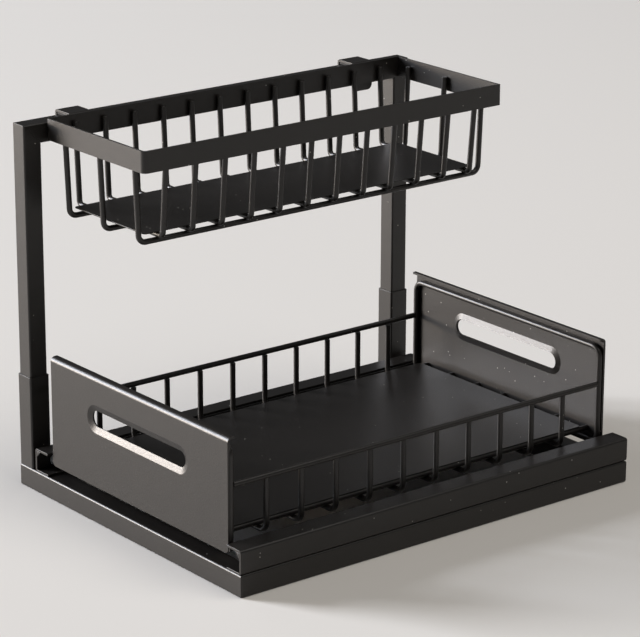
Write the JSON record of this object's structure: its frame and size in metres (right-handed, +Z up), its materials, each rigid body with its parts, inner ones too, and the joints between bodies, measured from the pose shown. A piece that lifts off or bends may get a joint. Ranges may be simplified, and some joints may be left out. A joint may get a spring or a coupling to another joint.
{
  "type": "pull out cabinet basket",
  "caption": "Black steel under-sink organiser: wire drawer on rollers that pulls out of a low base, and a wire basket hooked over a raised crossbar.",
  "frame": {"origin": "middle of the bottom of the object's box", "axes": "+X along the rails from the pull end (left) to the closed end, +Y from the front rail to the uprights at the rear, +Z up"},
  "size_m": [0.43, 0.3292, 0.3362],
  "materials": {
    "frame_powder_coat": "matte black powder coat, fine orange peel",
    "drawer_powder_coat": "matte black powder coat, fine orange peel",
    "basket_powder_coat": "matte black powder coat, fine orange peel",
    "plug_plastic": "moulded black",
    "roller_plastic": "moulded grey nylon",
    "pin_steel": "zinc plated rivet",
    "liner_rubber": "matte black"
  },
  "bodies": {
    "frame": {"base_leg_left": "frame_powder_coat", "base_leg_right": "frame_powder_coat", "base_front_bar": "frame_powder_coat", "base_back_bar": "frame_powder_coat", "leg_end_plugs": "plug_plastic", "sleeve_left": "frame_powder_coat", "sleeve_right": "frame_powder_coat", "post_left": "frame_powder_coat", "post_right": "frame_powder_coat", "crossbar": "frame_powder_coat", "rail_front": "frame_powder_coat", "rail_rear": "frame_powder_coat", "rail_end_caps": "frame_powder_coat", "rail_roller_pins": "pin_steel"},
    "drawer": {"drawer_panel_left": "drawer_powder_coat", "drawer_panel_right": "drawer_powder_coat", "drawer_hoop_left": "drawer_powder_coat", "drawer_hoop_right": "drawer_powder_coat", "drawer_side_wire_front": "drawer_powder_coat", "drawer_side_wire_rear": "drawer_powder_coat", "drawer_rib_01": "drawer_powder_coat", "drawer_rib_02": "drawer_powder_coat", "drawer_rib_03": "drawer_powder_coat", "drawer_rib_04": "drawer_powder_coat", "drawer_rib_05": "drawer_powder_coat", "drawer_rib_06": "drawer_powder_coat", "drawer_rib_07": "drawer_powder_coat", "drawer_rib_08": "drawer_powder_coat", "drawer_rib_09": "drawer_powder_coat", "drawer_rib_10": "drawer_powder_coat", "drawer_cross_wires": "drawer_powder_coat", "drawer_floor": "drawer_powder_coat", "runner_front": "drawer_powder_coat", "runner_rear": "drawer_powder_coat", "drawer_roller_pins": "pin_steel"},
    "rail_roller_front": {"rail_roller_front": "roller_plastic"},
    "rail_roller_rear": {"rail_roller_rear": "roller_plastic"},
    "drawer_roller_front": {"drawer_roller_front": "roller_plastic"},
    "drawer_roller_rear": {"drawer_roller_rear": "roller_plastic"},
    "hanging_basket": {"basket_rim": "basket_powder_coat", "basket_rib_01": "basket_powder_coat", "basket_rib_02": "basket_powder_coat", "basket_rib_03": "basket_powder_coat", "basket_rib_04": "basket_powder_coat", "basket_rib_05": "basket_powder_coat", "basket_rib_06": "basket_powder_coat", "basket_rib_07": "basket_powder_coat", "basket_rib_08": "basket_powder_coat", "basket_rib_09": "basket_powder_coat", "basket_rib_10": "basket_powder_coat", "basket_rib_11": "basket_powder_coat", "basket_rib_12": "basket_powder_coat", "basket_cradle_1": "basket_powder_coat", "basket_cradle_2": "basket_powder_coat", "basket_cradle_3": "basket_powder_coat", "basket_floor": "basket_powder_coat", "hook_left": "basket_powder_coat", "hook_right": "basket_powder_coat", "hook_liners": "liner_rubber"}
  },
  "joints": [
    {"name": "drawer_slide", "type": "slide", "parent": "frame", "child": "drawer", "axis": [-1, 0, 0], "range_m": [0, 0.3]},
    {"name": "basket_lift", "type": "slide", "parent": "frame", "child": "hanging_basket", "axis": [0, 0, 1], "range_m": [0, 0.1]},
    {"name": "rail_roller_front_spin", "type": "hinge", "parent": "frame", "child": "rail_roller_front", "pos_m": [-0.1963, -0.1592, 0.0277], "axis": [0, -1, 0], "range_deg": [0, 3150]},
    {"name": "drawer_roller_front_spin", "type": "hinge", "parent": "drawer", "child": "drawer_roller_front", "pos_m": [0.192, -0.1496, 0.03], "axis": [0, -1, 0], "range_deg": [0, 2165]},
    {"name": "rail_roller_rear_spin", "type": "hinge", "parent": "frame", "child": "rail_roller_rear", "pos_m": [-0.1963, 0.1322, 0.0277], "axis": [0, -1, 0], "range_deg": [0, 3150]},
    {"name": "drawer_roller_rear_spin", "type": "hinge", "parent": "drawer", "child": "drawer_roller_rear", "pos_m": [0.192, 0.1226, 0.03], "axis": [0, -1, 0], "range_deg": [0, 2165]}
  ],
  "couplings": [
    {"joint": "rail_roller_front_spin", "follows": "drawer_slide", "rad_per_m": 181.82},
    {"joint": "drawer_roller_front_spin", "follows": "drawer_slide", "rad_per_m": 125},
    {"joint": "rail_roller_rear_spin", "follows": "drawer_slide", "rad_per_m": 181.82},
    {"joint": "drawer_roller_rear_spin", "follows": "drawer_slide", "rad_per_m": 125}
  ]
}
